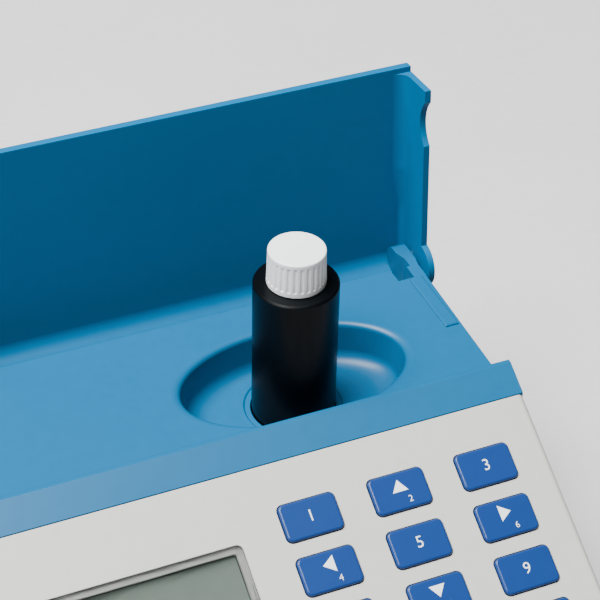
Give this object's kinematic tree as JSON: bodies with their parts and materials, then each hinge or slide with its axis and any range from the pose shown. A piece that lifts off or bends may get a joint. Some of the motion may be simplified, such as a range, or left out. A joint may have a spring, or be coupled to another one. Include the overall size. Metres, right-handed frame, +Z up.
{
  "type": "bench photometer",
  "caption": "Bench photometer with sloping key panel, hinged blue lid over an oval cuvette recess, and a capped vial in a lift-out adapter.",
  "frame": {"origin": "on the table under the middle of the instrument: bottom centre of its box", "axes": "+X to the right as the user faces it, +Y to the back, +Z up"},
  "size_m": [0.177, 0.206, 0.1534],
  "materials": {
    "grey_plastic": "fine moulded texture",
    "blue_plastic": "satin moulded",
    "key_plastic": "satin moulded",
    "clear_window": "clear acrylic",
    "display_glass": "dark grey-green glass",
    "white_plastic": "semi-gloss",
    "black_plastic": "satin",
    "vial_glass": "clear",
    "liner": "soft",
    "silicone": "matt",
    "foam": "matt foam",
    "rubber": "matt",
    "circuit_board": "solder mask",
    "steel": "bright",
    "backlight_plastic": "diffuse",
    "battery_wrap": "shrink film",
    "led_resin": "clear resin",
    "filter_glass": "coated",
    "flex_film": "polyimide film"
  },
  "bodies": {
    "housing": {"bottom_housing": "grey_plastic", "upper_housing": "grey_plastic", "deck": "blue_plastic", "display_window": "clear_window", "display_gasket": "foam", "display_module": "display_glass", "backlight": "backlight_plastic", "display_board": "circuit_board", "keypad_mat": "silicone", "keypad_board": "circuit_board", "keypad_screws": "steel", "display_screws": "steel", "main_board": "circuit_board", "board_screws": "steel", "optical_base": "black_plastic", "optical_ring": "black_plastic", "optical_collar": "black_plastic", "optics_screws": "steel", "bore_seal": "foam", "lenses": "vial_glass", "filters": "filter_glass", "leds": "led_resin", "photodetectors": "black_plastic", "usb_host_port": "steel", "micro_usb_port": "steel", "probe_jack": "black_plastic", "switch_module": "black_plastic", "battery_pad": "foam", "battery_pack": "battery_wrap", "sounder": "black_plastic", "keypad_flex": "flex_film", "optics_ribbon": "flex_film", "housing_screws": "steel", "deck_screws": "steel", "rubber_feet": "rubber"},
    "lid": {"lid": "blue_plastic", "lid_pins": "steel"},
    "adapter": {"vial_adapter": "black_plastic"},
    "vial": {"vial": "vial_glass"},
    "liner": {"cap_liner": "liner"},
    "cap": {"vial_cap": "white_plastic"},
    "power_button": {"power_button": "key_plastic"},
    "key_1": {"key_1": "key_plastic"},
    "key_2": {"key_2": "key_plastic"},
    "key_3": {"key_3": "key_plastic"},
    "key_4": {"key_4": "key_plastic"},
    "key_5": {"key_5": "key_plastic"},
    "key_6": {"key_6": "key_plastic"},
    "key_7": {"key_7": "key_plastic"},
    "key_8": {"key_8": "key_plastic"},
    "key_9": {"key_9": "key_plastic"},
    "key_10": {"key_10": "key_plastic"},
    "key_11": {"key_11": "key_plastic"},
    "key_12": {"key_12": "key_plastic"},
    "function_key_1": {"function_key_1": "key_plastic"},
    "function_key_2": {"function_key_2": "key_plastic"},
    "function_key_3": {"function_key_3": "key_plastic"}
  },
  "joints": [
    {"name": "lid_hinge", "type": "hinge", "parent": "housing", "child": "lid", "pos_m": [0, 0.0853, 0.089], "axis": [-1, 0, 0], "range_deg": [-42, 0]},
    {"name": "adapter_lift", "type": "slide", "parent": "housing", "child": "adapter", "axis": [0, 0, 1], "range_m": [0, 0.065]},
    {"name": "vial_lift", "type": "slide", "parent": "adapter", "child": "vial", "axis": [0, 0, 1], "range_m": [0, 0.095]},
    {"name": "cap_rise", "type": "slide", "parent": "vial", "child": "liner", "axis": [0, 0, 1], "range_m": [0, 0.0038]},
    {"name": "cap_turn", "type": "hinge", "parent": "liner", "child": "cap", "pos_m": [0.0275, 0.041, 0.13], "axis": [0, 0, 1], "range_deg": [0, 540]},
    {"name": "power_press", "type": "slide", "parent": "housing", "child": "power_button", "axis": [0, -1, 0], "range_m": [0, 0.0015], "stiffness_N_per_m": 500, "springref_m": -0.001},
    {"name": "key_1_press", "type": "slide", "parent": "housing", "child": "key_1", "axis": [0, 0.5, -0.866], "range_m": [0, 0.001], "stiffness_N_per_m": 500, "springref_m": -0.001},
    {"name": "key_2_press", "type": "slide", "parent": "housing", "child": "key_2", "axis": [0, 0.5, -0.866], "range_m": [0, 0.001], "stiffness_N_per_m": 500, "springref_m": -0.001},
    {"name": "key_3_press", "type": "slide", "parent": "housing", "child": "key_3", "axis": [0, 0.5, -0.866], "range_m": [0, 0.001], "stiffness_N_per_m": 500, "springref_m": -0.001},
    {"name": "key_4_press", "type": "slide", "parent": "housing", "child": "key_4", "axis": [0, 0.5, -0.866], "range_m": [0, 0.001], "stiffness_N_per_m": 500, "springref_m": -0.001},
    {"name": "key_5_press", "type": "slide", "parent": "housing", "child": "key_5", "axis": [0, 0.5, -0.866], "range_m": [0, 0.001], "stiffness_N_per_m": 500, "springref_m": -0.001},
    {"name": "key_6_press", "type": "slide", "parent": "housing", "child": "key_6", "axis": [0, 0.5, -0.866], "range_m": [0, 0.001], "stiffness_N_per_m": 500, "springref_m": -0.001},
    {"name": "key_7_press", "type": "slide", "parent": "housing", "child": "key_7", "axis": [0, 0.5, -0.866], "range_m": [0, 0.001], "stiffness_N_per_m": 500, "springref_m": -0.001},
    {"name": "key_8_press", "type": "slide", "parent": "housing", "child": "key_8", "axis": [0, 0.5, -0.866], "range_m": [0, 0.001], "stiffness_N_per_m": 500, "springref_m": -0.001},
    {"name": "key_9_press", "type": "slide", "parent": "housing", "child": "key_9", "axis": [0, 0.5, -0.866], "range_m": [0, 0.001], "stiffness_N_per_m": 500, "springref_m": -0.001},
    {"name": "key_10_press", "type": "slide", "parent": "housing", "child": "key_10", "axis": [0, 0.5, -0.866], "range_m": [0, 0.001], "stiffness_N_per_m": 500, "springref_m": -0.001},
    {"name": "key_11_press", "type": "slide", "parent": "housing", "child": "key_11", "axis": [0, 0.5, -0.866], "range_m": [0, 0.001], "stiffness_N_per_m": 500, "springref_m": -0.001},
    {"name": "key_12_press", "type": "slide", "parent": "housing", "child": "key_12", "axis": [0, 0.5, -0.866], "range_m": [0, 0.001], "stiffness_N_per_m": 500, "springref_m": -0.001},
    {"name": "function_key_1_press", "type": "slide", "parent": "housing", "child": "function_key_1", "axis": [0, 0.5, -0.866], "range_m": [0, 0.001], "stiffness_N_per_m": 500, "springref_m": -0.001},
    {"name": "function_key_2_press", "type": "slide", "parent": "housing", "child": "function_key_2", "axis": [0, 0.5, -0.866], "range_m": [0, 0.001], "stiffness_N_per_m": 500, "springref_m": -0.001},
    {"name": "function_key_3_press", "type": "slide", "parent": "housing", "child": "function_key_3", "axis": [0, 0.5, -0.866], "range_m": [0, 0.001], "stiffness_N_per_m": 500, "springref_m": -0.001}
  ],
  "couplings": [
    {"joint": "cap_rise", "follows": "cap_turn", "m_per_rad": 0.00039789}
  ]
}
